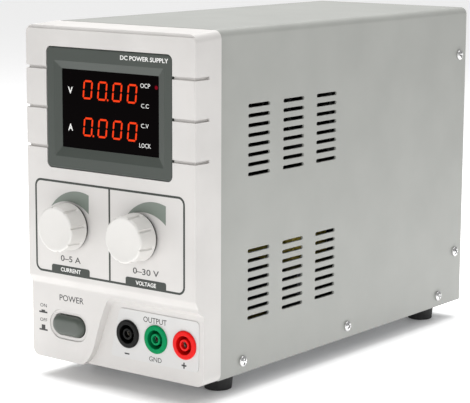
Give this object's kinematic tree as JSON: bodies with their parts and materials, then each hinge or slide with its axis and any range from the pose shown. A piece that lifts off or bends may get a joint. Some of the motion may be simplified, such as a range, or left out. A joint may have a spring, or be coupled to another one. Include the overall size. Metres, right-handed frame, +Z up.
{
  "type": "bench power supply",
  "caption": "Upright bench power supply: moulded front with lit display, rotary controls, push button and output jacks on a louvred sheet metal case with rear fan and mains inlet.",
  "frame": {"origin": "middle of the footprint of the whole object, on the surface that the feet stand on", "axes": "+X to the right as seen from the front, +Y from the front panel to the rear, +Z up"},
  "size_m": [0.115, 0.2798, 0.1905],
  "materials": {
    "fascia_plastic": "fine textured off-white ABS",
    "cover_paint": "light grey semi-gloss powder coat",
    "bezel_plastic": "satin dark grey-green ABS",
    "display_gloss": "polished black filter window",
    "knob_plastic": "smooth off-white ABS",
    "button_plastic": "satin grey-green ABS",
    "label_film": "printed overlay",
    "black_plastic": "black moulded plastic",
    "green_plastic": "glossy green",
    "red_plastic": "glossy red",
    "zinc_steel": "zinc plated",
    "nickel": "nickel plated",
    "rubber": "moulded rubber",
    "board": "solder-masked laminate",
    "core_steel": "varnished laminations",
    "coil_tape": "yellow polyester tape",
    "aluminium": "extruded",
    "sleeve": "shrink sleeve",
    "glass": "clear tube"
  },
  "bodies": {
    "case": {"fascia": "fascia_plastic", "display_bezel": "bezel_plastic", "display_window": "display_gloss", "display_board": "board", "voltage_digits": "black_plastic", "current_digits": "black_plastic", "current_encoder": "zinc_steel", "voltage_encoder": "zinc_steel", "output_label": "label_film", "negative_jack": "black_plastic", "negative_jack_contact": "nickel", "negative_jack_nut": "black_plastic", "ground_jack": "green_plastic", "ground_jack_contact": "nickel", "ground_jack_nut": "black_plastic", "positive_jack": "red_plastic", "positive_jack_contact": "nickel", "positive_jack_nut": "black_plastic", "power_switch": "black_plastic", "top_cover": "cover_paint", "chassis_pan": "zinc_steel", "rear_panel": "cover_paint", "transformer_core": "core_steel", "transformer_coil": "coil_tape", "main_board": "board", "filter_capacitor_left": "sleeve", "filter_capacitor_right": "sleeve", "heatsink": "aluminium", "bridge_rectifier": "black_plastic", "series_transistor": "black_plastic", "fan_frame": "black_plastic", "fan_guard": "nickel", "mains_inlet": "black_plastic", "voltage_selector": "black_plastic", "screw_left_bottom_front": "zinc_steel", "screw_left_bottom_middle": "zinc_steel", "screw_left_bottom_rear": "zinc_steel", "screw_left_rear_lower": "zinc_steel", "screw_left_rear_upper": "zinc_steel", "foot_front_left": "rubber", "foot_rear_left": "rubber", "screw_right_bottom_front": "zinc_steel", "screw_right_bottom_middle": "zinc_steel", "screw_right_bottom_rear": "zinc_steel", "screw_right_rear_lower": "zinc_steel", "screw_right_rear_upper": "zinc_steel", "foot_front_right": "rubber", "foot_rear_right": "rubber"},
    "current_rotor": {"current_rotor": "black_plastic"},
    "current_control": {"current_knob": "knob_plastic", "current_shaft": "zinc_steel"},
    "voltage_rotor": {"voltage_rotor": "black_plastic"},
    "voltage_control": {"voltage_knob": "knob_plastic", "voltage_shaft": "zinc_steel"},
    "power_button": {"power_button": "button_plastic", "power_plunger": "label_film"},
    "fan_rotor": {"fan_rotor": "black_plastic"},
    "fuse_drawer": {"fuse_drawer": "black_plastic", "fuse": "glass"},
    "selector_slider": {"selector_slider": "red_plastic"}
  },
  "joints": [
    {"name": "current_turn", "type": "hinge", "parent": "case", "child": "current_rotor", "pos_m": [-0.026, -0.11695, 0.0852], "axis": [0, -1, 0], "continuous": true},
    {"name": "current_press", "type": "slide", "parent": "current_rotor", "child": "current_control", "axis": [0, 1, 0], "range_m": [0, 0.0005], "stiffness_N_per_m": 1000, "springref_m": -0.003},
    {"name": "voltage_turn", "type": "hinge", "parent": "case", "child": "voltage_rotor", "pos_m": [0.0209, -0.11695, 0.0852], "axis": [0, -1, 0], "continuous": true},
    {"name": "voltage_press", "type": "slide", "parent": "voltage_rotor", "child": "voltage_control", "axis": [0, 1, 0], "range_m": [0, 0.0005], "stiffness_N_per_m": 1000, "springref_m": -0.003},
    {"name": "power_press", "type": "slide", "parent": "case", "child": "power_button", "axis": [0, 1, 0], "range_m": [-0.0035, 0.001]},
    {"name": "fan_spin", "type": "hinge", "parent": "case", "child": "fan_rotor", "pos_m": [0, 0.12305, 0.1405], "axis": [0, 1, 0], "continuous": true},
    {"name": "fuse_drawer_slide", "type": "slide", "parent": "case", "child": "fuse_drawer", "axis": [0, 1, 0], "range_m": [0, 0.017]},
    {"name": "selector_slide", "type": "slide", "parent": "case", "child": "selector_slider", "axis": [1, 0, 0], "range_m": [0, 0.005]}
  ]
}
